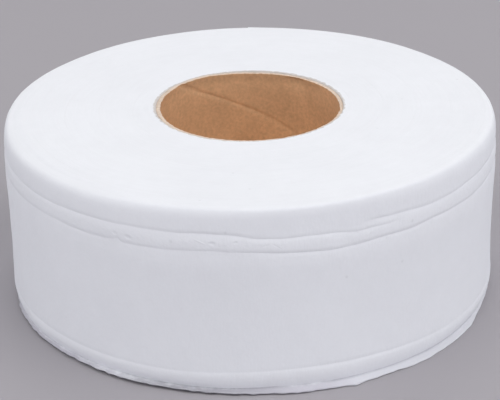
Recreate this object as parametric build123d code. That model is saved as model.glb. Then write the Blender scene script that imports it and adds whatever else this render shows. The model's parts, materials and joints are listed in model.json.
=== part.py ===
from build123d import *
import os

# A jumbo toilet paper roll that stands on one end, in millimetres.
# The roll's axis is +Z, and the origin is the middle of the end that it stands on.

# The wound paper
roll_diameter = 228.6  # across the smooth middle of the side
sheet_width = 84.0  # from end to end, so the height of the standing roll
tail_thickness = 0.4  # the free edge of the last sheet, which runs from end to end
tail_angle = 90.0  # where that edge lies, counter-clockwise from +X

# The core
core_bore_diameter = 84.6
core_wall = 1.5
core_recess = 0.6  # how far the core stops short of each end of the paper
seam_width = 0.9  # gap between two edges of the inner paperboard strip
seam_depth = 0.35  # thickness of that strip
seam_lead = 125.0  # how far the seam climbs in one turn
seam_height_at_tail = 66.0  # height at which the seam passes the tail's angle

# The soft rims and the creased bands of the side
rim_radius = 3.6  # rounding of the upper rim
rim_swell = 0.5  # how far the upper rim stands out past the side
crease_depth = 0.7  # how far a crease goes in from the side
crease_shoulder = 4.5  # height over which the side turns into a crease
upper_crease_inset = 9.6  # from the upper end down to the first crease
upper_crease_spacing = 7.4  # from there down to the second one
upper_band_swell = 0.45  # how far the paper between them bulges past the side
lower_crease_inset = 3.0  # from the lower end up to the first crease
lower_crease_spacing = 7.3  # from there up to the second one
lower_band_swell = 0.35  # how far the paper between them bulges past the side
lip_flare = 1.0  # how far the lowest edge spreads past the side
hole_lip_bevel = 1.2  # worn corner of the paper around the core

# The turns that show on both ends
turn_spacing = 15.5  # one groove for every bundle of sheets this thick
turn_groove_width = 0.8
turn_groove_depth = 0.3

# Round stretches of an outline are drawn as this many straight chords
rim_chords = 3
band_chords = 3
shoulder_chords = 2

side_radius = roll_diameter / 2
bore_radius = core_bore_diameter / 2
core_radius = bore_radius + core_wall
overshoot = 2.0  # how far a cutting shape reaches out of the paper


def chords(arc, count):
    """Points that cut an arc into equal chords, from its start to its end."""
    return [arc @ (step / count) for step in range(count + 1)]


def paper_section(growth):
    """Half section of the wound paper in the XZ plane, with its side moved out by growth."""
    side = side_radius + growth
    rim = side + rim_swell
    lip = side + lip_flare
    crease = side - crease_depth
    inner = core_radius / 2  # inside the hole, which is cut later

    lower_1 = (crease, lower_crease_inset)
    lower_2 = (crease, lower_crease_inset + lower_crease_spacing)
    upper_1 = (crease, sheet_width - upper_crease_inset)
    upper_2 = (crease, sheet_width - upper_crease_inset - upper_crease_spacing)
    lower_bulge = (side + lower_band_swell, lower_1[1] + lower_crease_spacing / 2)
    upper_bulge = (side + upper_band_swell, upper_2[1] + upper_crease_spacing / 2)
    side_foot = (side, lower_2[1] + crease_shoulder)
    side_head = (side, upper_2[1] - crease_shoulder)
    rim_side = (rim, sheet_width - rim_radius)
    rim_top = (rim - rim_radius, sheet_width)

    lower_band = chords(ThreePointArc(lower_1, lower_bulge, lower_2), band_chords)
    lower_shoulder = chords(TangentArc(side_foot, lower_2, tangent=(0, -1)), shoulder_chords)
    upper_shoulder = chords(TangentArc(side_head, upper_2, tangent=(0, 1)), shoulder_chords)
    upper_band = chords(ThreePointArc(upper_2, upper_bulge, upper_1), band_chords)
    rim_round = chords(TangentArc(rim_side, rim_top, tangent=(0, 1)), rim_chords)

    outline = [(inner, 0), (lip, 0)]
    outline += lower_band
    outline += reversed(lower_shoulder[:-1])
    outline += upper_shoulder
    outline += upper_band[1:]
    outline += rim_round
    outline += [(inner, sheet_width)]
    return Plane.XZ * make_face(Polyline(outline, close=True))


def half_turn(section, start_angle, centre_offset=0.0):
    """Half a turn of a section, counter-clockwise about a centre moved towards the tail."""
    half = Rot(0, 0, start_angle) * revolve(section, axis=Axis.Z, revolution_arc=180)
    return Pos(Vector(centre_offset, 0, 0).rotate(Axis.Z, tail_angle)) * half


def spiral_turn(section_at, growth):
    """One turn of a spiral struck from two centres, which starts and ends at the tail's angle.
    section_at(distance) is the section moved out by distance, and the turn ends growth further out."""
    first_half = half_turn(section_at(0), tail_angle)
    second_half = half_turn(section_at(growth / 2), tail_angle + 180, growth / 2)
    return [first_half, second_half]


def hole_shape():
    """What the core and the bevelled lips around it take out of the paper."""
    mouth = core_radius + hole_lip_bevel
    above = sheet_width + overshoot
    outline = [
        (0, -overshoot),
        (mouth, -overshoot),
        (mouth, 0),
        (core_radius, hole_lip_bevel),
        (core_radius, sheet_width - hole_lip_bevel),
        (mouth, sheet_width),
        (mouth, above),
        (0, above),
    ]
    return revolve(Plane.XZ * make_face(Polyline(outline, close=True)), axis=Axis.Z)


def groove_section(radius, end_height, outward):
    """V of one groove at a radius of an end face, with outward as 1 on the upper end and -1 below."""
    point = end_height - outward * turn_groove_depth
    mouth = end_height + outward * overshoot
    half_mouth = turn_groove_width / 2 * (turn_groove_depth + overshoot) / turn_groove_depth
    corners = [(radius - half_mouth, mouth), (radius, point), (radius + half_mouth, mouth)]
    return Plane.XZ * make_face(Polyline(corners, close=True))


def end_spiral(end_height, outward):
    """Groove that follows the turns on an end face, from beside the rim in to beside the core."""
    outer = side_radius + rim_swell - rim_radius - turn_groove_width
    inner = core_radius + hole_lip_bevel + turn_groove_width
    turns = int((outer - inner) / turn_spacing)
    pieces_of_turn = []
    for turn in range(turns):
        start = outer - (turn + 1) * turn_spacing
        pieces_of_turn += spiral_turn(
            lambda distance: groove_section(start + distance, end_height, outward), turn_spacing
        )
    return pieces_of_turn


def tissue_roll():
    first_half, second_half = spiral_turn(paper_section, tail_thickness)
    paper = first_half + second_half - hole_shape()
    paper -= end_spiral(sheet_width, 1)
    paper -= end_spiral(0, -1)
    return paper


def core_tube():
    """Spiral-wound paperboard tube, with the seam of its inner strip as a groove in the bore."""
    length = sheet_width - 2 * core_recess
    tube = Cylinder(core_radius, length) - Cylinder(bore_radius, length)
    tube = Pos(0, 0, sheet_width / 2) * tube

    start_angle = tail_angle - 360 * (seam_height_at_tail + overshoot) / seam_lead
    path = Helix(pitch=seam_lead, height=sheet_width + 2 * overshoot, radius=bore_radius)
    section = Plane(origin=path @ 0, z_dir=path % 0) * Rectangle(2 * seam_depth, seam_width)
    seam = sweep(section, path=path, is_frenet=True)
    return tube - Pos(0, 0, -overshoot) * Rot(0, 0, start_angle) * seam


pieces = {"tissue_roll": tissue_roll(), "core_tube": core_tube()}

os.makedirs("parts", exist_ok=True)
for name, piece in pieces.items():
    export_step(piece, f"parts/{name}.step")
    print(name, "solids", len(piece.solids()), "volume", round(piece.volume))
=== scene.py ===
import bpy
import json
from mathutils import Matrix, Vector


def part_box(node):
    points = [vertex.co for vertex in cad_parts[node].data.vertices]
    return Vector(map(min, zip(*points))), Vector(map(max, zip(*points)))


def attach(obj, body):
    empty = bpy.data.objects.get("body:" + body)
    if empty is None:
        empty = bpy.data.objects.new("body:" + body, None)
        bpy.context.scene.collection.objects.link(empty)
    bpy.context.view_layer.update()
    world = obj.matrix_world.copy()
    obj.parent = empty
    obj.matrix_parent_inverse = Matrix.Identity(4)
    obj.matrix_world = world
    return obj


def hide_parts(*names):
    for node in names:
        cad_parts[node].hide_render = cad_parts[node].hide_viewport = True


bl_info = {
    "name": "Jumbo Toilet Paper Roll",
    "version": (1, 0, 0),
    "blender": (4, 5, 0),
    "location": "View3D > Sidebar > Paper Roll",
    "description": "Winds a jumbo toilet paper roll on its paperboard core and lights it on a plain floor",
    "category": "Add Mesh",
}

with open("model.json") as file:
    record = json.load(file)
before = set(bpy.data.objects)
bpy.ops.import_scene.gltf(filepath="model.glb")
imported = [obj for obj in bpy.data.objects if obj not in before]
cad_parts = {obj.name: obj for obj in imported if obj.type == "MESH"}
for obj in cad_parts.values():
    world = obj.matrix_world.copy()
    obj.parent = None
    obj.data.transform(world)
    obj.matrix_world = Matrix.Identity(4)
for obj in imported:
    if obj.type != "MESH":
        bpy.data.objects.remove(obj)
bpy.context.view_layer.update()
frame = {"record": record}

import json
import math
import random

import bpy
import numpy as np
from bpy.props import FloatProperty, FloatVectorProperty, IntProperty, PointerProperty
from bpy.types import Operator, Panel, PropertyGroup
from mathutils import Matrix, Vector

MM = 0.001

paper_low, paper_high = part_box("tissue_roll")
core_low, core_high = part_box("core_tube")
core_mount = next(mount for mount in frame["record"]["mounts"] if mount["name"] == "core_bore")

LIP_FLARE = 1.0 * MM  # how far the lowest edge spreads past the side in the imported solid
PAPER_HEIGHT = paper_high[2] - paper_low[2]
SIDE_RADIUS = -paper_low[1] - LIP_FLARE
CORE_RADIUS = (core_high[0] - core_low[0]) / 2
BORE_RADIUS = core_mount["dims"]["r_mm"] * MM

# Angles are degrees round the roll from the front, growing to the right as seen from there.
# In the lists below, heights are millimetres above the floor, and all other sizes are millimetres too.
FRONT = -90.0  # the front itself, counter-clockwise from +X
FRONT_HALF = 75.0  # the columns of the mesh are finer this far to each side of the front
TAIL_ANGLE = 180.0
TAIL_GAP = 0.03  # between the free edge and the sheet that it lies on
TAIL_CURL_ANGLE = 6.0  # stretch of the last sheet that lifts off the roll
TAIL_WAVE = 9 * MM  # how closely the lifted edge waves from end to end
TAIL_WAVINESS = 0.3  # share of its lift that the waves add and take away

# The upper crease is one line that starts on the right, runs once round and ends below its own start.
UPPER_CREASE = [
    (22, 74.4), (28, 74.7), (34, 74.2), (40, 73.4), (47, 73.3), (54, 73.6), (60, 73.5), (70, 74.0),
    (130, 74.1), (180, 73.6), (230, 74.0), (300, 72.6), (306, 72.4), (314, 72.7), (320, 73.2), (328, 73.5),
    (333, 73.9), (339, 74.0), (345, 73.9), (351, 74.5), (355, 74.2), (358, 73.6), (361, 72.5), (366, 72.1),
    (371, 72.5), (377, 72.1), (382, 71.0), (389, 71.3), (395, 72.2),
]
UPPER_DEPTH = [
    (-75, 0.35), (-38, 0.35), (-30, 0.2), (-16, 0.22), (-10, 0.35), (30, 0.3), (60, 0.3), (180, 0.3),
]
UPPER_FADE_IN = 6  # degrees over which it deepens at its start
UPPER_FADE_OUT = 8  # degrees over which it fades at its end
# The other creases close on themselves round the back.
BAND_CREASE = [
    (-60, 65.5), (-46, 65.9), (-38, 65.6), (-31, 66.1), (-29.5, 66.5), (-28.4, 67.4), (-27.6, 65.9),
    (-20, 66.0), (-15, 66.3), (-8, 66.9), (1, 66.5), (10, 65.4), (16, 64.8), (22, 65.1), (27, 65.9),
    (36, 66.0), (42, 66.6), (50, 66.1), (58, 65.5), (66, 65.8), (120, 66.9), (180, 66.3), (240, 66.8),
]
BAND_DEPTH = [
    (-75, 0.12), (-50, 0.15), (-37, 0.28), (-28, 0.22), (-14, 0.2), (1, 0.3), (12, 0.36), (20, 0.26),
    (30, 0.34), (45, 0.3), (75, 0.25), (180, 0.25),
]
BAND_TOP = 73.5 * MM  # mean height of the upper crease, which closes the band from above
BAND_BULGE = 0.14 * MM
FOOT_CREASE = [
    (-60, 8.6), (-48, 9.0), (-35, 9.2), (-25, 9.5), (-16, 9.7), (-7, 10.4), (1, 11.0), (10, 11.6),
    (18, 11.4), (28, 11.2), (39, 10.3), (46, 9.6), (60, 8.9), (120, 9.4), (180, 10.2), (240, 9.0),
]
FOOT_DEPTH = [
    (-75, 0.15), (-45, 0.2), (-22, 0.12), (-5, 0.03), (8, 0.1), (16, 0.25), (26, 0.2), (38, 0.14), (52, 0.04),
    (64, 0.08), (90, 0.15), (180, 0.15),
]
FOOT_CREASE_WIDTH = 1.3  # of the foot's crease, as a share of the others'
CREASE_WANDER = 0.06 * MM  # how far the creases stray from these lines
CREASE_TIP = 0.15 * MM  # how soft the bottom of a crease is
CREASE_LOWER_WALL = 1.9  # width of a crease's lower wall, as a share of its own width
CREASE_UPPER_WALL = 0.9

# The crease above the lowest edge
LIP_CREASE = [
    (-75, 1.7), (-45, 1.9), (-30, 2.1), (-12, 1.9), (-3, 2.2), (6, 2.8), (14, 3.0), (18, 2.5), (26, 2.4),
    (30, 1.8), (37, 1.8), (42, 1.3), (48, 1.6), (54, 1.4), (64, 1.3), (90, 1.5), (180, 2.2),
]
LIP_DEPTH = [(-90, 0.0), (-10, 0.0), (2, 0.12), (14, 0.2), (34, 0.12), (44, 0.02), (64, 0.02), (180, 0.2)]
LIP_CREASE_WIDTH = 0.5 * MM
# How far that edge turns out below its crease, how ragged it is and how high it lifts off the floor
LIP_TURN_OUT = [
    (-90, 0.7), (-76, 1.3), (-68, 2.3), (-60, 2.3), (-48, 3.2), (-36, 4.5), (-26, 4.8), (-18, 4.1), (-2, 3.2),
    (4, 3.2), (9, 3.8), (14, 3.6), (19.5, 4.0), (21.5, 5.4), (23.5, 4.4), (25, 4.0), (28, 3.7), (32, 3.6),
    (34, 4.4), (36, 4.5), (40, 4.8), (44, 4.3), (48, 4.3), (58, 4.0), (62, 2.4), (70, 1.4), (90, 1.2),
    (180, 1.4),
]
LIP_RAGGED = [(-90, 0.15), (-20, 0.2), (15, 0.2), (30, 0.1), (64, 0.08), (180, 0.1)]
LIP_LIFT = [
    (-75, 0.5), (-60, 0.8), (-48, 1.1), (-36, 1.45), (-22, 1.4), (-8, 1.0), (2, 0.7), (12, 0.5), (20, 0.3),
    (26, 0.2), (32, 0.35), (36, 0.1), (60, 0.1), (75, 0.3), (180, 0.5),
]
LIP_EASE = 0.85  # power of its turn outwards: below 1, most of it comes right below the crease
# How far the foot spreads above it
FOOT_SPREAD = [
    (-90, 0.3), (-75, 0.9), (-60, 1.2), (-40, 1.2), (0, 0.8), (20, 0.8), (40, 0.9), (55, 1.0), (64, 1.2),
    (75, 1.6), (90, 1.3), (180, 0.8),
]
FOOT_SPREAD_HEIGHT = 30 * MM
FOOT_SPREAD_EASE = 1.5  # power of the spread: above 1, most of it comes low down
FOOT_RIDGE = 0.26 * MM  # step out of the paper right below the foot's crease
FOOT_RIDGE_HEIGHT = 1.4 * MM  # height over which that step comes out
# How far the foot curls in by the time it meets the floor
FOOT_CURL = [(-90, 2.8), (-54, 2.8), (-40, 3.8), (-16, 3.8), (-4, 3.0), (10, 2.8), (180, 2.8)]
FOOT_CURL_EASE = 2.6
# Outline of the side: height and how far it stands out from its mean
SIDE_OUTLINE = [(0, 0.1), (12, 0.1), (30, 0.0), (50, -0.1), (60, 0.1), (66, -0.15), (74, -0.55), (79, -0.8)]
OUT_OF_ROUND = [(-90, 0.0), (50, 0.0), (80, -0.35), (110, -0.3), (150, 0.0)]
SWELL_DEPTH = 0.12 * MM  # of the side's broad swells
RIPPLE_DEPTH = 0.03 * MM  # of its fine ripples
# Outline of the upper rim: share of its reach in from the side, and how far down from the top
RIM_OUTLINE = [
    (0.0, 7.4), (0.03, 5.6), (0.055, 4.3), (0.09, 3.3), (0.13, 2.5), (0.18, 1.85), (0.235, 1.3),
    (0.305, 0.88), (0.39, 0.55), (0.485, 0.32), (0.61, 0.16), (0.78, 0.05), (1.0, 0.0),
]
RIM_REACH = [
    (-140, 6.7), (-100, 6.2), (-70, 7.8), (-50, 7.6), (-38, 6.8), (-16, 4.3), (0, 2.6), (20, 2.3), (40, 2.6),
    (60, 3.1), (90, 4.1), (130, 6.2), (180, 5.1),
]
REACH_WAVINESS = 0.08
# How far the paper above the crease leans in, how much rounder than its outline the rim turns over,
# and how high it stands
RIM_LEAN = [
    (-150, 0.0), (-100, 0.3), (-75, 0.8), (-36, 0.8), (-25, 0.4), (-10, 0.2), (5, 0.0), (25, 0.1), (40, 0.6),
    (60, 0.9), (80, 0.6), (110, 0.2), (150, 0.0),
]
RIM_ROUNDNESS = [
    (-150, 0.0), (-100, 0.3), (-75, 0.9), (-36, 0.8), (-25, 0.2), (-10, 0.0), (90, 0.1), (150, 0.0),
]
RIM_RISE = [
    (-150, 0.0), (-110, 0.1), (-60, 0.9), (-20, 1.2), (15, 1.4), (35, 1.8), (60, 1.7), (80, 1.0), (110, 0.3),
    (150, 0.0),
]
RIM_RISE_STRETCH = 3  # millimetres above the foot of the rim over which it comes up to that height
MEAN_RISE = 0.5 * MM  # what the rise tends to towards the middle of the roll
END_RELIEF = 0.05 * MM  # of the soft waves of the upper end
# The torn inner edge of the paper, which the core leaves bare on the left and at the back on the right
HOLE_BEVEL = [
    (-150, 0.5), (-120, 0.7), (-90, 0.9), (-70, 0.8), (-50, 0.4), (-20, 0.3), (60, 0.3), (95, 0.7),
    (115, 1.2), (135, 1.0), (155, 0.5), (180, 0.4),
]
CORE_CLEARANCE = 0.05 * MM  # between the paper and the core
# How far the upper edge of the core stands above its packed height
CORE_RISE = [(-150, 1.1), (-90, 0.9), (0, 0.85), (90, 0.5), (150, 0.4), (175, 0.3), (195, 0.6)]
# How far the inside of the core's upper end leans in
LEAN_IN = [
    (-150, 0.2), (-120, 0.8), (-90, 1.1), (-70, 0.7), (-50, 0.1), (-20, 0.0), (50, 0.0), (62, -0.3),
    (72, -0.2), (85, 0.2), (100, 0.55), (130, 0.4), (160, 0.1),
]
LEAN_DEPTH = 6 * MM  # how far down from the upper edge it leans
LEAN_STEPS = (1.5 * MM, 3 * MM, 4.5 * MM)  # depths of the rows that follow the lean
INNER_PLY = 0.5 * MM  # what lies within this of the bore belongs to the core's inside
EDGE_ROUGHNESS = 0.06 * MM  # of the core's upper edge, up and down
EDGE_FRAY = 0.1 * MM  # of its inner corner, in and out
CORNER_ANGLE = 80.0  # where that corner is worn
CORNER_HALF_ANGLE = 4
CORNER_DEPTH = 0.25 * MM
DENT_ANGLE = 147.0  # where the inner ply is pressed in right under the edge
DENT_HALF_ANGLE = 7
DENT_DEPTH = 0.7 * MM
DENT_MIDDLE = 1.2 * MM  # how far below the edge the dent is deepest
DENT_ABOVE = 0.8 * MM  # how far it reaches up from there
DENT_BELOW = 3.5 * MM  # and down
# The groove of the core's seam shows from halfway up and deepens near the edge.
SEAM_SHOWS = (42 * MM, 54 * MM)
SEAM_DEEPENS = (67 * MM, 74 * MM)
SEAM_GAPE = 3 * MM  # how far down from the edge it gapes
SEAM_SHIFT = 0.8 * MM  # from the edge of the inner strip to the middle of the groove
SEAM_LOWER_WALL = 1.1 * MM
SEAM_UPPER_WALL = 1.3 * MM
SEAM_WANDER = 0.35 * MM
SEAM_WAVE = 5 * MM
SEAM_HALF_ANGLE = 4.0  # the core's columns are finer this far to each side of the seam
CROSSING_HEIGHT = 66.5 * MM  # where a small fold crosses the seam
CROSSING_HALF = 1.5 * MM

# Small folds pressed into the side: angle, height, half length, half width, turn in degrees and depth
FOLDS = [
    (-10.3, 70.7, 3.4, 0.5, -22, 0.08), (-7.9, 70.4, 1.7, 1.0, 0, -0.18), (-29.0, 69.3, 1.6, 1.0, -10, -0.16),
    (-25.9, 68.8, 1.9, 1.1, -10, -0.2), (2.9, 69.6, 1.8, 0.45, 24, -0.08), (5.0, 69.1, 2.8, 0.45, -33, -0.07),
    (-3.2, 71.1, 1.1, 0.7, 30, -0.14), (25.2, 69.4, 1.0, 0.5, 35, 0.1), (29.1, 65.2, 1.2, 0.5, 20, 0.1),
    (47.0, 68.0, 1.6, 0.5, 30, -0.1),
]
# Dark specks: angle and height on the side, and angle and radius on the upper end
SIDE_SPECKS = [(-16.4, 69.9), (35.3, 69.2), (32.9, 51.9), (19.7, 51.2), (-5.2, 75.3)]
TOP_SPECKS = [(-5.3, 78.1), (-0.2, 93.5), (-11.1, 105.8), (92.1, 71.5), (105.2, 104.2), (60.1, 65.4)]
SPECK_SIZE = 0.9 * MM
SPECK_TONE = -0.08
MARK_REACH = 2.5 * MM  # how deep into the paper a mark still counts

# For the materials: each pair of heights or of places across the roll runs from the least effect to the full.
# The crushed paper between the two upper creases
CRUMPLE_LOWER = (65 * MM, 67 * MM)
CRUMPLE_UPPER = (73.5 * MM, 70 * MM)
CRUMPLE_ACROSS = (25 * MM, -15 * MM)
CRUMPLE_DEPTH = 0.22  # in millimetres
# The turns on the ends
TURN_LINES = 900.0  # fine lines for each metre of radius
TURN_BREAKS = 3.0  # how often a line changes on its way round
TURN_SPACING = 15.5 * MM  # one groove for every bundle of sheets this thick
TURN_GROOVE_WIDTH = 0.6 * MM
TURN_GROOVE_DEPTH = 0.05  # in millimetres
# The lowest edge has painted shade: darkest left of the middle, and lighter on the right, where it turns out.
EDGE_HEIGHTS = (2.8 * MM, 1.8 * MM)
EDGE_WIDENS = (-30 * MM, 20 * MM)
EDGE_WIDER = 0.9 * MM
EDGE_SHADE_LEFT = (-62 * MM, -45 * MM)
EDGE_SHADE_RIGHT = (26 * MM, -12 * MM)
EDGE_SHADE_TONE = -0.27
LIGHTER_SHADE_ACROSS = (25 * MM, 50 * MM)
# Painted shade right above it, where the foot curls under
FOOT_SHADE_HEIGHTS = (5.2 * MM, 2.6 * MM)
FOOT_SHADE_LEFT = (-68 * MM, -46 * MM)
FOOT_SHADE_RIGHT = (-8 * MM, -24 * MM)
FOOT_SHADE_TONE = -0.08
# The inside of the core is lighter halfway down with painted light, paler there on the right, and darker at
# the back right under its edge with painted shade.
PAINTED_LIGHT_HEIGHTS = (76 * MM, 44 * MM)
PALER_ACROSS = (-2 * MM, 24 * MM)
PALER_TONE = 0.17
BACK_SHADE_HEIGHTS = (core_high[2] - 5 * MM, core_high[2] - 1.5 * MM)
BACK_SHADE_TOWARDS_BACK = (15 * MM, 36 * MM)
BACK_SHADE_TONE = -0.17

# The soft light: colours of the sky at the horizon and overhead, and the four softboxes, in metres
SKY_LOW = (0.985, 1.005, 1.08)
SKY_HIGH = (0.16, 0.16, 0.16)
SKY_FULL = 0.7  # sine of the elevation from which the sky has its overhead colour
SOFTBOX_SIZE = 1.9
SOFTBOX_DISTANCE = 2.6
FLOOR_HALF = 8.0  # metres from the middle of the floor to its sides
# The camera aims a little below and to the left of the middle of the roll, and is tilted.
AIM_BELOW = math.radians(0.5576)
AIM_LEFT = math.radians(0.035)
CAMERA_TILT = math.radians(-1.01)
SENSOR_WIDTH = 36.0


def round_line(points, angles):
    """Values in metres of a line through points, given in millimetres, that closes round the roll."""
    first_angle, first_value = points[0]
    closed = points + [(first_angle + 360, first_value)]
    known, values = np.array(closed, float).T
    return np.interp((angles - first_angle) % 360 + first_angle, known, values) * MM


def smooth_step(low, high, value):
    """0 below low, 1 above high and a smooth rise between them."""
    share = np.clip((value - low) / (high - low), 0, 1)
    return share * share * (3 - 2 * share)


def eased(share, power):
    """Share held between 0 and 1 and raised to a power."""
    return np.clip(share, 0, 1) ** power


def waves(angles, heights, seed, count, turns, rises):
    """Sum of seeded cosine waves, between about -1 and 1, that closes round the roll. Each wave takes its
    turns round the roll and its radians for each millimetre upwards from the given ranges."""
    chance = random.Random(seed)
    total = np.zeros(np.broadcast(angles, heights).shape)
    for _ in range(count):
        around = chance.randint(*turns)
        upward = chance.uniform(*rises) / MM
        total += np.cos(np.radians(angles) * around + heights * upward + chance.uniform(0, math.tau))
    return total / math.sqrt(count)


def level_waves(angles, seed, count, turns):
    """Waves that are the same at every height."""
    return waves(angles, 0 * angles, seed, count, turns, (0, 0))


def crease(offset, width):
    """Section of a pressed crease: 1 at its bottom and 0 well outside, with its lower wall less steep."""
    away = np.sqrt(offset**2 + CREASE_TIP**2) - CREASE_TIP
    return np.exp(-away / (width * np.where(offset < 0, CREASE_LOWER_WALL, CREASE_UPPER_WALL)))


def bulge(heights, low, high):
    """Rounded swell between two heights, 1 at the middle and 0 at both ends."""
    share = np.clip((heights - low) / (high - low), 0, 1)
    return 4 * share * (1 - share)


def turn_from(angles, angle):
    """Degrees from an angle, between -180 and 180."""
    return (angles - angle + 180) % 360 - 180


class PaperSizes(PropertyGroup):
    side_radius: FloatProperty(
        name="Side Radius", description="Radius of the smooth middle of the side",
        default=SIDE_RADIUS, min=0.05, unit="LENGTH",
    )
    height: FloatProperty(
        name="Height", description="Width of the sheet, from end to end",
        default=PAPER_HEIGHT, min=0.05, unit="LENGTH",
    )
    crease_strength: FloatProperty(
        name="Crease Strength", description="Share of their measured depth that the creases are pressed in",
        default=1.0, min=0.0, max=3.0, subtype="FACTOR",
    )
    crease_width: FloatProperty(
        name="Crease Width", description="Distance over which a crease fades out",
        default=0.6 * MM, min=0.0001, unit="LENGTH",
    )
    tail_thickness: FloatProperty(
        name="Tail Thickness", description="Step of the free edge of the last sheet",
        default=0.4 * MM, min=0.0, unit="LENGTH",
    )
    tail_curl: FloatProperty(
        name="Tail Curl", description="How far the free edge lifts off the roll",
        default=0.5 * MM, min=0.0, unit="LENGTH",
    )
    front_columns: IntProperty(
        name="Front Columns", description="Steps of the mesh across the front", default=375, min=32,
    )
    back_columns: IntProperty(
        name="Back Columns", description="Steps of the mesh round the back", default=200, min=32,
    )
    end_rows: IntProperty(
        name="End Rows", description="Steps of the mesh from the rim in to the core", default=46, min=4,
    )


class CoreSizes(PropertyGroup):
    outer_radius: FloatProperty(
        name="Outer Radius", description="Outside of the paperboard tube",
        default=CORE_RADIUS, min=0.01, unit="LENGTH",
    )
    bore_radius: FloatProperty(
        name="Bore Radius", description="Inside of the paperboard tube",
        default=BORE_RADIUS, min=0.01, unit="LENGTH",
    )
    seam_lead: FloatProperty(
        name="Seam Lead", description="How far the seam of the inner strip climbs in one turn",
        default=125.0 * MM, min=0.01, unit="LENGTH",
    )
    seam_height: FloatProperty(
        name="Seam Height", description="Height at which the seam passes the back of the bore",
        default=66.0 * MM, min=0.0, unit="LENGTH",
    )
    seam_depth: FloatProperty(
        name="Seam Depth", description="Thickness of the inner strip",
        default=0.3 * MM, min=0.0, unit="LENGTH",
    )
    columns: IntProperty(
        name="Columns", description="Steps of the mesh round the tube", default=540, min=64,
    )


class Finishes(PropertyGroup):
    tissue: FloatVectorProperty(
        name="Tissue", description="Colour of the paper",
        default=(0.860, 0.868, 0.901), subtype="COLOR", min=0.0, max=1.0,
    )
    kraft: FloatVectorProperty(
        name="Kraft Board", description="Colour of the inside of the core",
        default=(0.68, 0.418, 0.233), subtype="COLOR", min=0.0, max=1.0,
    )
    # Painted light: a lighter board colour halfway down the inside of the core
    kraft_painted_light: FloatVectorProperty(
        name="Kraft Board Inside", description="Colour of the core halfway down, where it's cleaner",
        default=(0.835, 0.544, 0.312), subtype="COLOR", min=0.0, max=1.0,
    )
    cut_edge: FloatVectorProperty(
        name="Cut Edge", description="Colour of the cut edge of the core",
        default=(0.73, 0.59, 0.475), subtype="COLOR", min=0.0, max=1.0,
    )
    # Painted shade of the gap round the core, on the torn paper there
    torn_paper_shade: FloatVectorProperty(
        name="Torn Paper", description="Colour of the torn paper around the core",
        default=(0.64, 0.60, 0.575), subtype="COLOR", min=0.0, max=1.0,
    )
    # Painted shade of the lowest edge of the paper
    lower_edge_shade: FloatVectorProperty(
        name="Lower Edge", description="Colour of the crushed lowest edge of the paper",
        default=(0.607, 0.597, 0.652), subtype="COLOR", min=0.0, max=1.0,
    )
    # Lighter painted shade of the lowest edge, where it turns out on the right
    lower_edge_lighter_shade: FloatVectorProperty(
        name="Clean Lower Edge", description="Colour of the lowest edge where it's clean and turned out",
        default=(0.703, 0.706, 0.748), subtype="COLOR", min=0.0, max=1.0,
    )
    floor: FloatVectorProperty(
        name="Floor", description="Colour of the floor",
        default=(0.414, 0.394, 0.418), subtype="COLOR", min=0.0, max=1.0,
    )


class StageSettings(PropertyGroup):
    camera_distance: FloatProperty(
        name="Camera Distance", description="From the lens to the middle of the roll",
        default=671.8 * MM, min=0.1, unit="LENGTH",
    )
    camera_height_angle: FloatProperty(
        name="Camera Height Angle", description="Angle above the horizon at which the camera stands",
        default=math.radians(25.25), subtype="ANGLE",
    )
    camera_lens: FloatProperty(
        name="Lens", description="Focal length for a sensor 36 mm wide", default=101.06, min=10.0,
    )
    sky_strength: FloatProperty(
        name="Sky Strength", description="Brightness of the soft light from all round",
        default=1.23, min=0.0,
    )
    left_azimuth: FloatProperty(
        name="Left Lamp Azimuth", description="Angle of the left lamp to the right of the camera",
        default=math.radians(-62), subtype="ANGLE",
    )
    left_elevation: FloatProperty(
        name="Left Lamp Elevation", description="Angle of the left lamp above the horizon",
        default=math.radians(58), subtype="ANGLE",
    )
    left_power: FloatProperty(
        name="Left Lamp Power", description="Power of the left lamp", default=16.0, min=0.0, unit="POWER",
    )
    right_azimuth: FloatProperty(
        name="Right Lamp Azimuth", description="Angle of the right lamp to the right of the camera",
        default=math.radians(62), subtype="ANGLE",
    )
    right_elevation: FloatProperty(
        name="Right Lamp Elevation", description="Angle of the right lamp above the horizon",
        default=math.radians(58), subtype="ANGLE",
    )
    right_power: FloatProperty(
        name="Right Lamp Power", description="Power of the right lamp", default=26.0, min=0.0, unit="POWER",
    )
    back_elevation: FloatProperty(
        name="Back Lamp Elevation", description="Angle of the back lamp above the horizon",
        default=math.radians(50), subtype="ANGLE",
    )
    back_power: FloatProperty(
        name="Back Lamp Power", description="Power of the back lamp", default=13.0, min=0.0, unit="POWER",
    )
    front_elevation: FloatProperty(
        name="Front Lamp Elevation", description="Angle of the front lamp above the horizon",
        default=math.radians(25), subtype="ANGLE",
    )
    front_power: FloatProperty(
        name="Front Lamp Power", description="Power of the front lamp", default=5.5, min=0.0, unit="POWER",
    )


def build_mesh(name, points):
    """Mesh object from a grid of points, shape (columns, rows, 3), that closes in both directions."""
    columns, rows = points.shape[:2]
    number = np.arange(columns * rows).reshape(columns, rows)
    right = np.roll(number, -1, axis=0)
    up = np.roll(number, -1, axis=1)
    right_up = np.roll(right, -1, axis=1)
    faces = np.stack([number, right, right_up, up], axis=-1).reshape(-1, 4)
    mesh = bpy.data.meshes.new(name)
    mesh.from_pydata(points.reshape(-1, 3).tolist(), [], faces.tolist())
    mesh.shade_smooth()
    mesh.update()
    piece = bpy.data.objects.new(name, mesh)
    bpy.context.scene.collection.objects.link(piece)
    return piece


def cylinder_points(angles, radii, heights):
    """Points of a grid from the angle from the front, the radius and the height of each."""
    turned = np.radians(angles + FRONT)
    return np.stack([radii * np.cos(turned), radii * np.sin(turned), heights], axis=-1)


def spread(*stretches):
    """Values that run through the given stretches of (start, end, number of steps)."""
    values = []
    for start, end, count in stretches:
        values += [start + (end - start) * step / count for step in range(count)]
    return values


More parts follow.
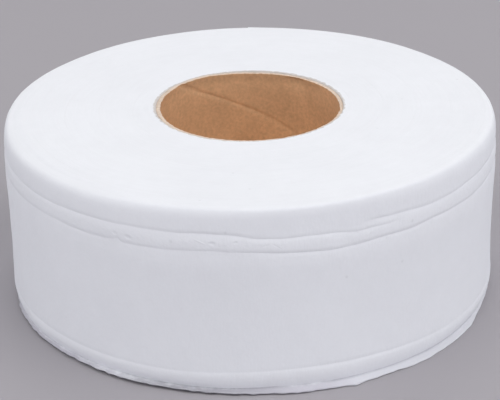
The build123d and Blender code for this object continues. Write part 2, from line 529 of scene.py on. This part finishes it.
def side_heights(angles):
    """Heights of the side's rows at each angle. They follow the creases and crowd round them."""
    lift, lip, foot, band = (
        round_line(line, angles) for line in (LIP_LIFT, LIP_CREASE, FOOT_CREASE, BAND_CREASE)
    )
    flat = 0 * angles
    # Each height with the number of steps up to the next one
    levels = [
        (lift + 0.2 * MM, 4),
        (lip, 2),
        (lip + 0.7 * MM, 6),
        (foot - 2.2 * MM, 12),
        (foot + 1.8 * MM, 3),
        (16 * MM + flat, 11),
        (60 * MM + flat, 4),
        (band - 1.8 * MM, 15),
        (band + 2 * MM, 3),
        (70.8 * MM + flat, 19),
        (76 * MM + flat, 0),
    ]
    rows = []
    for (low, count), (high, _) in zip(levels, levels[1:]):
        rows += [low + (high - low) * step / count for step in range(count)]
    return np.concatenate(rows + [levels[-1][0]], axis=1)


def upper_crease(angles, heights, width):
    """The upper crease, where its end and its start overlap as well."""
    known, values = np.array(UPPER_CREASE, float).T
    start, end = known[0], known[-1]
    total = 0
    for turned in ((angles - start) % 360 + start, (angles - start) % 360 + start + 360):
        strength = smooth_step(start, start + UPPER_FADE_IN, turned)
        strength = strength * (1 - smooth_step(end - UPPER_FADE_OUT, end, turned))
        line = np.interp(turned, known, values) * MM
        total = total + strength * crease(heights - line, width)
    return total


def side_offset(sizes, angles, heights):
    """How far the side stands out from its radius at each angle and height."""
    band = round_line(BAND_CREASE, angles)
    foot = round_line(FOOT_CREASE, angles)
    width = sizes.crease_width
    wander = CREASE_WANDER * level_waves(angles, 11, 6, (8, 50))
    outline_heights, outline_offsets = np.array(SIDE_OUTLINE, float).T * MM

    pressed = round_line(UPPER_DEPTH, angles) * upper_crease(angles, heights + wander, width)
    pressed += round_line(BAND_DEPTH, angles) * crease(heights - band - wander, width)
    pressed += round_line(FOOT_DEPTH, angles) * crease(heights - foot + wander, FOOT_CREASE_WIDTH * width)

    offset = np.interp(heights, outline_heights, outline_offsets) + round_line(OUT_OF_ROUND, angles)
    offset -= sizes.crease_strength * pressed
    offset += BAND_BULGE * bulge(heights, band, BAND_TOP)
    offset += round_line(FOOT_SPREAD, angles) * eased(1 - heights / FOOT_SPREAD_HEIGHT, FOOT_SPREAD_EASE)
    offset += FOOT_RIDGE * (1 - np.exp(-np.maximum(foot - heights, 0) / FOOT_RIDGE_HEIGHT))
    offset -= round_line(FOOT_CURL, angles) * eased((foot - heights) / foot, FOOT_CURL_EASE)
    offset += SWELL_DEPTH * waves(angles, heights, 21, 10, (3, 14), (-0.06, 0.06))
    offset += RIPPLE_DEPTH * waves(angles, heights, 22, 14, (20, 70), (-0.4, 0.4))
    return offset


def lip_offset(angles, heights):
    """How far the lowest edge turns out below its crease."""
    lift = round_line(LIP_LIFT, angles)
    line = round_line(LIP_CREASE, angles)
    share = eased((line - heights) / (line - lift), LIP_EASE)
    ragged = round_line(LIP_RAGGED, angles) * level_waves(angles, 61, 9, (30, 140))
    dent = round_line(LIP_DEPTH, angles) * crease(heights - line, LIP_CREASE_WIDTH)
    return (round_line(LIP_TURN_OUT, angles) + ragged) * share - dent


def lean_in(angles, heights):
    """How far the inside of the core leans in. Its outside and the paper on it lean half as far."""
    return round_line(LEAN_IN, angles) * eased((heights - core_high[2]) / LEAN_DEPTH + 1, 2)


def paper_rise(sizes, angles, radii):
    """How much higher than its lowest point the upper end stands."""
    return MEAN_RISE + (round_line(RIM_RISE, angles) - MEAN_RISE) * (radii / sizes.side_radius) ** 2


def paper_angles(sizes):
    """Angles of the columns, which run once round from the tail and stop just short of it."""
    last = TAIL_ANGLE + 360 - TAIL_GAP
    front_start = 360 - FRONT_HALF
    front_end = 360 + FRONT_HALF
    half_back = sizes.back_columns // 2
    angles = spread(
        (TAIL_ANGLE, front_start, half_back),
        (front_start, front_end, sizes.front_columns),
        (front_end, last, half_back),
    )
    return np.array(angles + [last])[:, None]


def lower_rows(sizes, angles, side, edge):
    """Radii and heights under the roll, from the hole out to the lowest edge."""
    flat = 0 * angles
    lift = round_line(LIP_LIFT, angles) * (1 + 0.3 * level_waves(angles, 62, 9, (30, 160)))
    inner = CORE_RADIUS + CORE_CLEARANCE + 1.2 * MM
    rows = [(radius + flat, flat) for radius in spread((inner, sizes.side_radius - 7 * MM, 12))]
    rows.append((side - 6 * MM, flat))
    rows.append((side - 4.6 * MM, 0.7 * lift))
    rows.append((edge - 1.0 * MM, lift))
    rows.append((edge - 0.2 * MM, lift))
    return rows


def upper_rows(sizes, angles, side, curl):
    """Radii and heights over the rim, in over the upper end and down the hole."""
    rows = []
    rim_foot = RIM_OUTLINE[0][1]
    rim_offset = side_offset(sizes, angles, PAPER_HEIGHT - rim_foot * MM + 0 * angles) + curl
    reach = round_line(RIM_REACH, angles) * (1 + REACH_WAVINESS * level_waves(angles, 31, 7, (2, 16)))
    lean = round_line(RIM_LEAN, angles)
    roundness = round_line(RIM_ROUNDNESS, angles)
    for share, down in RIM_OUTLINE:
        radius = side + rim_offset - reach * share - lean * (1 - down / rim_foot) ** 2
        drop = down * MM + roundness * 4 * share * (1 - share)
        rise = paper_rise(sizes, angles, radius) * min(1, (rim_foot - down) / RIM_RISE_STRETCH)
        rows.append((radius, PAPER_HEIGHT + rise - drop))

    hole = CORE_RADIUS + CORE_CLEARANCE
    outer = side + rim_offset - reach - lean
    top_hole = hole - lean_in(angles, core_high[2]) / 2
    bevel = round_line(HOLE_BEVEL, angles) * (1 + 0.25 * level_waves(angles, 63, 14, (12, 90)))
    inner = top_hole + bevel
    for step in range(1, sizes.end_rows + 1):
        radius = outer + (inner - outer) * step / sizes.end_rows
        relief = END_RELIEF * waves(angles, radius, 41, 12, (0, 7), (-0.9, 0.9)) - END_RELIEF
        rows.append((radius, PAPER_HEIGHT + paper_rise(sizes, angles, radius) + relief))

    # The torn edge: share of the bevel's width, and how far down as a share of it
    ragged = 1 + 0.3 * level_waves(angles, 64, 16, (20, 120))
    for share, drop in ((0.7, 0.07), (0.4, 0.2 * ragged), (0.15, 0.35 * ragged), (0.0, 0.6)):
        radius = top_hole + bevel * share
        rows.append((radius, PAPER_HEIGHT + paper_rise(sizes, angles, radius) - drop * bevel))
    for depth in (*LEAN_STEPS, LEAN_DEPTH):
        height = core_high[2] - depth
        rows.append((hole - lean_in(angles, height) / 2, height + 0 * angles))
    for height in (40 * MM, 0.6 * MM):
        rows.append((hole + 0 * angles, height + 0 * angles))
    return rows


def paper_grid(sizes):
    """Points of the wound paper: out along the lower end, up the side, in over the upper end and down."""
    angles = paper_angles(sizes)
    turned = angles - TAIL_ANGLE
    side = sizes.side_radius + sizes.tail_thickness * turned / 360
    heights = side_heights(angles)
    curl = sizes.tail_curl * eased((turned - (360 - TAIL_CURL_ANGLE)) / TAIL_CURL_ANGLE, 2)
    curl_waves = 1 + TAIL_WAVINESS * np.cos(heights / TAIL_WAVE)
    radii = side + side_offset(sizes, angles, heights) + lip_offset(angles, heights) + curl * curl_waves

    rows = lower_rows(sizes, angles, side, radii[:, :1])
    rows.append((radii, heights))
    rows += upper_rows(sizes, angles, side, curl)
    all_radii, all_heights = (np.concatenate(part, axis=1) for part in zip(*rows))
    return cylinder_points(angles, all_radii, all_heights)


def core_rows(sizes):
    """Radius, height, share of the seam's depth and share of what shapes the edge, for each row."""
    inner, outer = sizes.bore_radius, sizes.outer_radius
    bottom, top = core_low[2], core_high[2]
    near_top = spread((top - LEAN_DEPTH, top - 2.4 * MM, 4), (top - 2.4 * MM, top - 0.1 * MM, 6))
    rows = [(inner, height, 1.0, 0.0) for height in spread((bottom, top - LEAN_DEPTH, 42))]
    rows += [(inner, height, 1.0, (height - top) / LEAN_DEPTH + 1) for height in near_top]
    rows += [
        (inner + 0.03 * MM, top - 0.1 * MM, 0.6, 1.0),
        (inner + 0.2 * MM, top, 0.3, 1.0),
        (inner + 0.7 * MM, top + 0.03 * MM, 0.0, 1.0),
        (outer - 0.25 * MM, top, 0.0, 1.0),
        (outer, top - 0.2 * MM, 0.0, 1.0),
    ]
    rows += [(outer, top - depth, 0.0, 0.0) for depth in LEAN_STEPS]
    rows += [(outer, height, 0.0, 0.0) for height in spread((top - LEAN_DEPTH, bottom + 0.2 * MM, 20))]
    rows += [(outer - 0.15 * MM, bottom, 0.0, 0.0), (inner + 0.1 * MM, bottom, 0.5, 0.0)]
    return rows


def seam_strength(angles, height):
    """How deep the core's seam is at a height, as a share of the inner strip's thickness."""
    strength = 0.5 + 0.25 * level_waves(angles, 52, 6, (3, 30))
    strength = strength * smooth_step(*SEAM_SHOWS, height)
    strength = strength + 0.7 * smooth_step(*SEAM_DEEPENS, height)
    strength = strength + 0.5 * math.exp(-(core_high[2] - height) / SEAM_GAPE)
    return strength + 0.7 * math.exp(-(((height - CROSSING_HEIGHT) / CROSSING_HALF) ** 2))


def core_dent(angles, height):
    """How far the inner ply of the core is pressed in at a height."""
    below = core_high[2] - DENT_MIDDLE - height
    under_edge = math.exp(-((below / (DENT_BELOW if below > 0 else DENT_ABOVE)) ** 2))
    return DENT_DEPTH * under_edge * np.exp(-((turn_from(angles, DENT_ANGLE) / DENT_HALF_ANGLE) ** 4))


def core_grid(sizes):
    """Points of the paperboard tube, with its columns along the helix of the inner strip's seam."""
    beside = sizes.columns // 2
    seam_offset = spread(
        (-180.0, -SEAM_HALF_ANGLE, beside),
        (-SEAM_HALF_ANGLE, SEAM_HALF_ANGLE, 60),
        (SEAM_HALF_ANGLE, 180.0, beside),
    )
    seam_offset = np.array(seam_offset)[:, None]
    near_seam = smooth_step(0, 1, 1 - np.abs(seam_offset) / SEAM_HALF_ANGLE)
    climb = sizes.seam_lead / 360
    slope = math.atan2(sizes.seam_lead, math.tau * sizes.bore_radius)
    across = np.radians(seam_offset) * sizes.bore_radius * math.sin(slope)

    columns = []
    for radius, height, seam_share, edge_share in core_rows(sizes):
        angles = TAIL_ANGLE + seam_offset + (height - sizes.seam_height) / climb
        wander = SEAM_WANDER * np.sin(height / SEAM_WAVE) * near_seam
        below = across - wander - SEAM_SHIFT
        wall = np.where(below < 0, SEAM_LOWER_WALL, SEAM_UPPER_WALL)
        groove = sizes.seam_depth * seam_strength(angles, height) * np.exp(-((below / wall) ** 2))
        dent = core_dent(angles, height) * (seam_share == 1.0)

        is_inner = radius < sizes.bore_radius + INNER_PLY
        corner = CORNER_DEPTH * np.exp(-((turn_from(angles, CORNER_ANGLE) / CORNER_HALF_ANGLE) ** 2))
        frayed = EDGE_FRAY * level_waves(angles, 53, 14, (10, 120))
        lean = lean_in(angles, height) * (1 if is_inner else 0.5)
        radii = radius - lean + groove * seam_share + (corner + frayed) * (edge_share * is_inner) + dent

        rough = EDGE_ROUGHNESS * level_waves(angles, 51, 12, (10, 110))
        rise = round_line(CORE_RISE, angles)
        columns.append((angles, radii, height + (rise + rough) * edge_share))
    return np.concatenate([cylinder_points(*column) for column in columns], axis=1)


def start_material(name):
    """New node material with its tree, which holds only the shader and the output, and that shader."""
    material = bpy.data.materials.new(name)
    material.use_nodes = True
    tree = material.node_tree
    return material, tree, tree.nodes["Principled BSDF"]


def add_node(tree, kind, **settings):
    """New node of a kind, with its settings."""
    made = tree.nodes.new(kind)
    for name, value in settings.items():
        setattr(made, name, value)
    return made


def feed(tree, socket, value):
    """Links value to socket if it is a socket itself, and sets it otherwise."""
    if isinstance(value, bpy.types.NodeSocket):
        tree.links.new(value, socket)
    else:
        socket.default_value = value


def calculate(tree, operation, *values):
    """Output of a Math node on the given sockets or numbers."""
    made = add_node(tree, "ShaderNodeMath", operation=operation)
    for socket, value in zip(made.inputs, values):
        feed(tree, socket, value)
    return made.outputs[0]


def product(tree, *factors):
    """Output of Math nodes that multiply all factors."""
    total = factors[0]
    for factor in factors[1:]:
        total = calculate(tree, "MULTIPLY", total, factor)
    return total


def changed(tree, tone, share, change):
    """Tone multiplied by 1 at a share of 0 and by 1 + change at a share of 1."""
    return calculate(tree, "MULTIPLY", tone, calculate(tree, "MULTIPLY_ADD", share, change, 1.0))


def ramp(tree, value, low, high, to_low=0.0, to_high=1.0):
    """Output of a smooth Map Range node."""
    made = add_node(tree, "ShaderNodeMapRange", interpolation_type="SMOOTHSTEP")
    feed(tree, made.inputs["Value"], value)
    for name, number in (("From Min", low), ("From Max", high), ("To Min", to_low), ("To Max", to_high)):
        feed(tree, made.inputs[name], number)
    return made.outputs[0]


def axes_of(tree, vector):
    """X, Y and Z of a vector."""
    made = add_node(tree, "ShaderNodeSeparateXYZ")
    feed(tree, made.inputs[0], vector)
    return made.outputs["X"], made.outputs["Y"], made.outputs["Z"]


def coordinates(tree, kind):
    """A texture coordinate, such as Object or Normal, and its X, Y and Z."""
    place = add_node(tree, "ShaderNodeTexCoord").outputs[kind]
    return place, *axes_of(tree, place)


def vector_from(tree, x, y, z):
    """Vector with the given X, Y and Z."""
    made = add_node(tree, "ShaderNodeCombineXYZ")
    for name, value in (("X", x), ("Y", y), ("Z", z)):
        feed(tree, made.inputs[name], value)
    return made.outputs[0]


def scaled(tree, vector, factor):
    """Vector or colour multiplied by a factor."""
    made = add_node(tree, "ShaderNodeVectorMath", operation="SCALE")
    feed(tree, made.inputs[0], vector)
    feed(tree, made.inputs["Scale"], factor)
    return made.outputs[0]


def length_of(tree, vector):
    """Length of a vector."""
    made = add_node(tree, "ShaderNodeVectorMath", operation="LENGTH")
    feed(tree, made.inputs[0], vector)
    return made.outputs["Value"]


def blend(tree, share, first, second):
    """Number that goes from the first at a share of 0 to the second at 1."""
    made = add_node(tree, "ShaderNodeMix")
    for index, value in ((0, share), (2, first), (3, second)):
        feed(tree, made.inputs[index], value)
    return made.outputs[0]


def blend_colours(tree, share, first, second):
    """Colour that goes from the first, a colour or a socket, at a share of 0 to the second at 1."""
    made = add_node(tree, "ShaderNodeMix", data_type="RGBA")
    feed(tree, made.inputs[0], share)
    for index, colour in ((6, first), (7, second)):
        is_socket = isinstance(colour, bpy.types.NodeSocket)
        feed(tree, made.inputs[index], colour if is_socket else (*colour, 1.0))
    return made.outputs[2]


def noise(tree, vector, scale, detail=3.0, roughness=0.55, stretch=None):
    """Output of a Noise Texture, on coordinates stretched by the given factors."""
    if stretch:
        mapping = add_node(tree, "ShaderNodeMapping")
        feed(tree, mapping.inputs["Vector"], vector)
        mapping.inputs["Scale"].default_value = stretch
        vector = mapping.outputs[0]
    made = add_node(tree, "ShaderNodeTexNoise")
    for name, value in (("Vector", vector), ("Scale", scale), ("Detail", detail), ("Roughness", roughness)):
        feed(tree, made.inputs[name], value)
    return made.outputs["Fac"]


def fibre_group():
    """Node group for the fibres of paper: a tone around 1 and a height, both from noise."""
    tree = bpy.data.node_groups.new("paper_fibres", "ShaderNodeTree")
    for name, default in (("Fibre Scale", 900.0), ("Contrast", 0.05)):
        tree.interface.new_socket(name, in_out="INPUT", socket_type="NodeSocketFloat").default_value = default
    for name in ("Tone", "Height"):
        tree.interface.new_socket(name, in_out="OUTPUT", socket_type="NodeSocketFloat")
    inside = add_node(tree, "NodeGroupInput")
    outside = add_node(tree, "NodeGroupOutput")
    place = add_node(tree, "ShaderNodeTexCoord").outputs["Object"]
    scale = inside.outputs["Fibre Scale"]
    fine = noise(tree, place, scale, detail=2.0)
    coarse = noise(tree, place, product(tree, scale, 0.13))
    mixed = calculate(tree, "ADD", product(tree, fine, 0.5), product(tree, coarse, 0.5))
    centred = calculate(tree, "SUBTRACT", mixed, 0.5)
    tone = calculate(tree, "ADD", product(tree, centred, inside.outputs["Contrast"]), 1.0)
    tree.links.new(tone, outside.inputs["Tone"])
    tree.links.new(mixed, outside.inputs["Height"])
    return tree


def use_fibres(tree, scale, contrast):
    """Tone and height of the shared fibre group, at a scale and contrast."""
    group = bpy.data.node_groups.get("paper_fibres") or fibre_group()
    made = add_node(tree, "ShaderNodeGroup", node_tree=group)
    made.inputs["Fibre Scale"].default_value = scale
    made.inputs["Contrast"].default_value = contrast
    return made.outputs["Tone"], made.outputs["Height"]


def set_gloss(shader, roughness, specular):
    """How rough the surface is, and how much of the light it reflects."""
    shader.inputs["Roughness"].default_value = roughness
    shader.inputs["Specular IOR Level"].default_value = specular


def set_bump(tree, shader, height):
    """Bump from a height in millimetres."""
    bump = add_node(tree, "ShaderNodeBump")
    feed(tree, bump.inputs["Height"], height)
    bump.inputs["Strength"].default_value = 1.0
    bump.inputs["Distance"].default_value = MM
    tree.links.new(bump.outputs["Normal"], shader.inputs["Normal"])


def spot(tree, place, angle, radius, height, turned, size, depth):
    """A soft oval spot at a place on the roll: its depth at the middle, and 0 outside."""
    around = math.radians(angle + FRONT)
    here = add_node(tree, "ShaderNodeMapping", vector_type="TEXTURE")
    tree.links.new(place, here.inputs["Vector"])
    here.inputs["Location"].default_value = (radius * math.cos(around), radius * math.sin(around), height)
    here.inputs["Rotation"].default_value = turned
    here.inputs["Scale"].default_value = size
    return ramp(tree, length_of(tree, here.outputs[0]), 0.2, 1.1, depth, 0.0)


def fold_heights(tree, place):
    """Height in millimetres of the small folds in the side."""
    total = 0.0
    for angle, height, half_length, half_width, turn, depth in FOLDS:
        turned = (0, -math.radians(turn), math.radians(angle))
        size = (half_length * MM, MARK_REACH, half_width * MM)
        fold = spot(tree, place, angle, SIDE_RADIUS, height * MM, turned, size, depth)
        total = calculate(tree, "ADD", total, fold)
    return total


def speck_tone(tree, place):
    """Tone around 1 of the dark specks."""
    total = 1.0
    for angle, height in SIDE_SPECKS:
        size = (SPECK_SIZE, MARK_REACH, SPECK_SIZE)
        turned = (0, 0, math.radians(angle))
        speck = spot(tree, place, angle, SIDE_RADIUS, height * MM, turned, size, SPECK_TONE)
        total = calculate(tree, "ADD", total, speck)
    for angle, radius in TOP_SPECKS:
        size = (SPECK_SIZE, SPECK_SIZE, MARK_REACH)
        speck = spot(tree, place, angle, radius * MM, PAPER_HEIGHT, (0, 0, 0), size, SPECK_TONE)
        total = calculate(tree, "ADD", total, speck)
    return total


def crumple_height(tree, place, x, z):
    """Height in millimetres of the crushed paper between the two upper creases, left of the middle."""
    between = product(tree, ramp(tree, z, *CRUMPLE_LOWER), ramp(tree, z, *CRUMPLE_UPPER))
    along = ramp(tree, x, *CRUMPLE_ACROSS, 0.25, 1.0)
    folds = noise(tree, place, 380.0, roughness=0.6)
    return product(tree, folds, product(tree, between, along, CRUMPLE_DEPTH))


def turn_lines(tree, level, radius):
    """Noise in fine lines that follow the turns on an end."""
    direction = add_node(tree, "ShaderNodeVectorMath", operation="NORMALIZE")
    feed(tree, direction.inputs[0], level)
    along_x, along_y, _ = axes_of(tree, scaled(tree, direction.outputs[0], TURN_BREAKS))
    lines = vector_from(tree, along_x, along_y, product(tree, radius, TURN_LINES))
    return noise(tree, lines, 1.0, detail=2.0, roughness=0.7)


def turn_groove(tree, x, y, radius):
    """Depth in millimetres of the groove that winds in over an end, one turn for a bundle of sheets."""
    angle = calculate(tree, "ARCTAN2", y, x)
    bundles = calculate(tree, "DIVIDE", radius, TURN_SPACING)
    wound = calculate(tree, "MULTIPLY_ADD", angle, -1 / math.tau, bundles)
    away = calculate(tree, "PINGPONG", wound, 0.5)
    return ramp(tree, away, 0.0, TURN_GROOVE_WIDTH / TURN_SPACING, TURN_GROOVE_DEPTH, 0.0)


def torn_shade_share(tree, place, z, radius):
    """Where the paper is torn round the core, at its upper end, and takes painted shade."""
    torn_reach = ramp(tree, noise(tree, place, 420.0), 0.35, 0.65, 0.1 * MM, 0.7 * MM)
    torn = calculate(tree, "SUBTRACT", radius, torn_reach)
    torn = ramp(tree, torn, CORE_RADIUS - 0.1 * MM, CORE_RADIUS + 0.7 * MM, 1.0, 0.0)
    return product(tree, torn, ramp(tree, z, PAPER_HEIGHT - 4 * MM, PAPER_HEIGHT - 2 * MM))


def lower_edge_shade_share(tree, pucker, x, z):
    """Where the lowest edge's painted shade shows. It is wider on the right."""
    frayed_height = calculate(tree, "MULTIPLY_ADD", pucker, 0.8 * MM, z)
    wider = ramp(tree, x, *EDGE_WIDENS, 0.0, EDGE_WIDER)
    return ramp(tree, calculate(tree, "SUBTRACT", frayed_height, wider), *EDGE_HEIGHTS)


def lower_edge_shade_colour(tree, finishes, x):
    """Painted shade of the lowest edge, darkest on its left side and lightest on its right side."""
    edge_shade = product(tree, ramp(tree, x, *EDGE_SHADE_LEFT, 0.4, 1.0), ramp(tree, x, *EDGE_SHADE_RIGHT))
    lighter_shade = ramp(tree, x, *LIGHTER_SHADE_ACROSS)
    colour = blend_colours(tree, lighter_shade, finishes.lower_edge_shade, finishes.lower_edge_lighter_shade)
    return scaled(tree, colour, calculate(tree, "MULTIPLY_ADD", edge_shade, EDGE_SHADE_TONE, 1.0))


def tissue_material(finishes):
    """White tissue: creped side, cut ends that show the turns, and a torn edge round the core. It has painted
    shade on that torn edge, on the lowest edge and right above it.
    """
    material, tree, shader = start_material("tissue")
    place, x, y, z = coordinates(tree, "Object")
    _, _, _, facing_up = coordinates(tree, "Normal")
    on_end = ramp(tree, calculate(tree, "ABSOLUTE", facing_up), 0.6, 0.95)
    level = vector_from(tree, x, y, 0.0)
    radius = length_of(tree, level)

    tone, fibre_height = use_fibres(tree, 1100.0, 0.06)
    crepe = noise(tree, place, 900.0, detail=2.0, stretch=(1.0, 1.0, 0.3))
    pucker = noise(tree, place, 260.0, detail=2.0)
    turns = turn_lines(tree, level, radius)
    side_height = calculate(tree, "MULTIPLY_ADD", crepe, 0.05, product(tree, pucker, 0.12))
    end_height = calculate(tree, "MULTIPLY_ADD", turns, 0.06, product(tree, pucker, 0.06))
    end_height = calculate(tree, "SUBTRACT", end_height, turn_groove(tree, x, y, radius))
    surface = blend(tree, on_end, side_height, end_height)
    height = calculate(tree, "MULTIPLY_ADD", fibre_height, 0.05, surface)
    height = calculate(tree, "ADD", height, fold_heights(tree, place))
    height = calculate(tree, "ADD", height, crumple_height(tree, place, x, z))

    cloud = ramp(tree, noise(tree, place, 26.0, detail=4.0, roughness=0.6), 0.3, 0.7, 0.985, 1.008)
    turn_tone = ramp(tree, turns, 0.35, 0.65, -0.006, 0.006)
    tone = product(tree, tone, cloud, speck_tone(tree, place))
    tone = calculate(tree, "MULTIPLY_ADD", turn_tone, on_end, tone)
    # Painted shade on the lower foot, where it curls under
    foot_shade = product(
        tree, ramp(tree, z, *FOOT_SHADE_HEIGHTS), ramp(tree, x, *FOOT_SHADE_LEFT), ramp(tree, x, *FOOT_SHADE_RIGHT)
    )
    tone = changed(tree, tone, foot_shade, FOOT_SHADE_TONE)

    # Painted shade on the torn paper round the core
    torn = torn_shade_share(tree, place, z, radius)
    colour = blend_colours(tree, torn, finishes.tissue, finishes.torn_paper_shade)
    # Painted shade on the lowest edge
    lower_edge_shade = lower_edge_shade_colour(tree, finishes, x)
    colour = blend_colours(tree, lower_edge_shade_share(tree, pucker, x, z), colour, lower_edge_shade)
    feed(tree, shader.inputs["Base Color"], scaled(tree, colour, tone))
    set_gloss(shader, 0.92, 0.2)
    set_bump(tree, shader, height)
    return material


def kraft_material(finishes):
    """Brown paperboard with a pale cut edge, lighter halfway down with painted light. At the back it's darker
    right under that edge with painted shade.
    """
    material, tree, shader = start_material("kraft_board")
    place, x, y, z = coordinates(tree, "Object")
    _, _, _, facing_up = coordinates(tree, "Normal")
    tone, fibre_height = use_fibres(tree, 700.0, 0.5)
    frayed = noise(tree, place, 700.0)
    cut = ramp(tree, calculate(tree, "MULTIPLY_ADD", frayed, 0.5, facing_up), 0.45, 0.8)
    # Painted light: the board is lighter halfway down
    inside = ramp(tree, z, *PAINTED_LIGHT_HEIGHTS)
    board = blend_colours(tree, inside, finishes.kraft, finishes.kraft_painted_light)
    colour = blend_colours(tree, cut, board, finishes.cut_edge)

    streaks = noise(tree, place, 90.0, detail=4.0, roughness=0.65, stretch=(1.0, 1.0, 0.5))
    grain = noise(tree, place, 650.0, detail=1.0)
    tone = product(tree, tone, ramp(tree, streaks, 0.3, 0.7, 0.96, 1.04))
    tone = product(tree, tone, ramp(tree, grain, 0.3, 0.7, 0.945, 1.055))
    tone = changed(tree, tone, product(tree, inside, ramp(tree, x, *PALER_ACROSS)), PALER_TONE)
    # Painted shade at the back right under the upper edge, kept off the cut edge
    back_shade = product(tree, ramp(tree, z, *BACK_SHADE_HEIGHTS), ramp(tree, y, *BACK_SHADE_TOWARDS_BACK))
    back_shade = product(tree, back_shade, ramp(tree, cut, 0.5, 0.0))
    tone = changed(tree, tone, back_shade, BACK_SHADE_TONE)
    feed(tree, shader.inputs["Base Color"], scaled(tree, colour, tone))
    set_gloss(shader, 0.8, 0.3)
    set_bump(tree, shader, product(tree, fibre_height, 0.1))
    return material


def floor_material(finishes):
    """Plain matte floor."""
    material, _, shader = start_material("floor")
    shader.inputs["Base Color"].default_value = (*finishes.floor, 1.0)
    set_gloss(shader, 0.9, 0.1)
    return material


class ROLL_OT_wind_paper(Operator):
    """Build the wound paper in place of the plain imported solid"""

    bl_idname = "roll.wind_paper"
    bl_label = "Wind Paper"

    def execute(self, context):
        scene = context.scene
        paper = build_mesh("wound_paper", paper_grid(scene.roll_paper))
        paper.data.materials.append(tissue_material(scene.roll_finishes))
        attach(paper, "root")
        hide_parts("tissue_roll")
        return {"FINISHED"}


class ROLL_OT_core(Operator):
    """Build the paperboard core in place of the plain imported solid"""

    bl_idname = "roll.core"
    bl_label = "Roll Core"

    def execute(self, context):
        scene = context.scene
        core = build_mesh("paperboard_core", core_grid(scene.roll_core))
        core.data.materials.append(kraft_material(scene.roll_finishes))
        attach(core, "root")
        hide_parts("core_tube")
        return {"FINISHED"}


class ROLL_OT_stage(Operator):
    """Set the floor, the soft light and the camera"""

    bl_idname = "roll.stage"
    bl_label = "Set Stage"

    def execute(self, context):
        scene = context.scene
        settings = scene.roll_stage
        make_floor(scene)
        make_light(scene, settings)
        make_camera(scene, settings)
        scene.view_settings.view_transform = "Standard"
        return {"FINISHED"}


def make_floor(scene):
    """One large plain square that the roll stands on."""
    mesh = bpy.data.meshes.new("floor")
    corners = [(x * FLOOR_HALF, y * FLOOR_HALF, 0) for x, y in ((-1, -1), (1, -1), (1, 1), (-1, 1))]
    mesh.from_pydata(corners, [], [(0, 1, 2, 3)])
    floor = bpy.data.objects.new("floor", mesh)
    floor.data.materials.append(floor_material(scene.roll_finishes))
    scene.collection.objects.link(floor)


def make_light(scene, settings):
    """Sky light from all round, and four large softboxes that face the roll."""
    world = bpy.data.worlds.new("studio")
    world.use_nodes = True
    tree = world.node_tree
    background = tree.nodes["Background"]
    _, _, _, upward = coordinates(tree, "Generated")
    sky = blend_colours(tree, ramp(tree, upward, 0.0, SKY_FULL), SKY_LOW, SKY_HIGH)
    tree.links.new(sky, background.inputs["Color"])
    background.inputs["Strength"].default_value = settings.sky_strength
    scene.world = world

    for name, azimuth, elevation, power in (
        ("softbox_left", settings.left_azimuth, settings.left_elevation, settings.left_power),
        ("softbox_right", settings.right_azimuth, settings.right_elevation, settings.right_power),
        ("softbox_back", math.pi, settings.back_elevation, settings.back_power),
        ("softbox_front", 0.0, settings.front_elevation, settings.front_power),
    ):
        lamp = bpy.data.lights.new(name, "AREA")
        lamp.shape = "DISK"
        lamp.size = SOFTBOX_SIZE
        lamp.energy = power
        softbox = bpy.data.objects.new(name, lamp)
        level = math.cos(elevation)
        toward = Vector((math.sin(azimuth) * level, -math.cos(azimuth) * level, math.sin(elevation)))
        softbox.location = toward * SOFTBOX_DISTANCE
        softbox.rotation_euler = toward.to_track_quat("Z", "Y").to_euler()
        scene.collection.objects.link(softbox)


def make_camera(scene, settings):
    """Camera at the photograph's angle and distance."""
    middle = Vector((0, 0, PAPER_HEIGHT / 2))
    rise = settings.camera_height_angle
    camera_data = bpy.data.cameras.new("camera")
    camera_data.sensor_width = SENSOR_WIDTH
    camera_data.lens = settings.camera_lens
    camera = bpy.data.objects.new("camera", camera_data)
    back = Vector((0, -math.cos(rise), math.sin(rise))) * settings.camera_distance
    turn = Matrix.Rotation(AIM_LEFT, 4, "Z") @ Matrix.Rotation(math.pi / 2 - rise - AIM_BELOW, 4, "X")
    camera.matrix_world = Matrix.Translation(middle + back) @ turn @ Matrix.Rotation(CAMERA_TILT, 4, "Z")
    scene.collection.objects.link(camera)
    scene.camera = camera


class ROLL_PT_panel(Panel):
    """Sizes and colours of the roll, with a button for each piece"""

    bl_label = "Paper Roll"
    bl_idname = "ROLL_PT_panel"
    bl_space_type = "VIEW_3D"
    bl_region_type = "UI"
    bl_category = "Paper Roll"

    def draw(self, context):
        layout = self.layout
        for group, button in (
            ("roll_paper", "roll.wind_paper"),
            ("roll_core", "roll.core"),
            ("roll_finishes", None),
            ("roll_stage", "roll.stage"),
        ):
            settings = getattr(context.scene, group)
            for name in settings.__annotations__:
                layout.prop(settings, name)
            if button:
                layout.operator(button)


classes = (
    PaperSizes,
    CoreSizes,
    Finishes,
    StageSettings,
    ROLL_OT_wind_paper,
    ROLL_OT_core,
    ROLL_OT_stage,
    ROLL_PT_panel,
)
settings_groups = {
    "roll_paper": PaperSizes,
    "roll_core": CoreSizes,
    "roll_finishes": Finishes,
    "roll_stage": StageSettings,
}


def register():
    """Adds the panel, its buttons and the scene's settings."""
    for each in classes:
        bpy.utils.register_class(each)
    for name, group in settings_groups.items():
        setattr(bpy.types.Scene, name, PointerProperty(type=group))


def unregister():
    """Takes them away again."""
    for name in settings_groups:
        delattr(bpy.types.Scene, name)
    for each in reversed(classes):
        bpy.utils.unregister_class(each)


def main():
    """Builds the roll and its stage with the default settings."""
    register()
    bpy.ops.roll.wind_paper()
    bpy.ops.roll.core()
    bpy.ops.roll.stage()


if __name__ == "__main__":
    main()
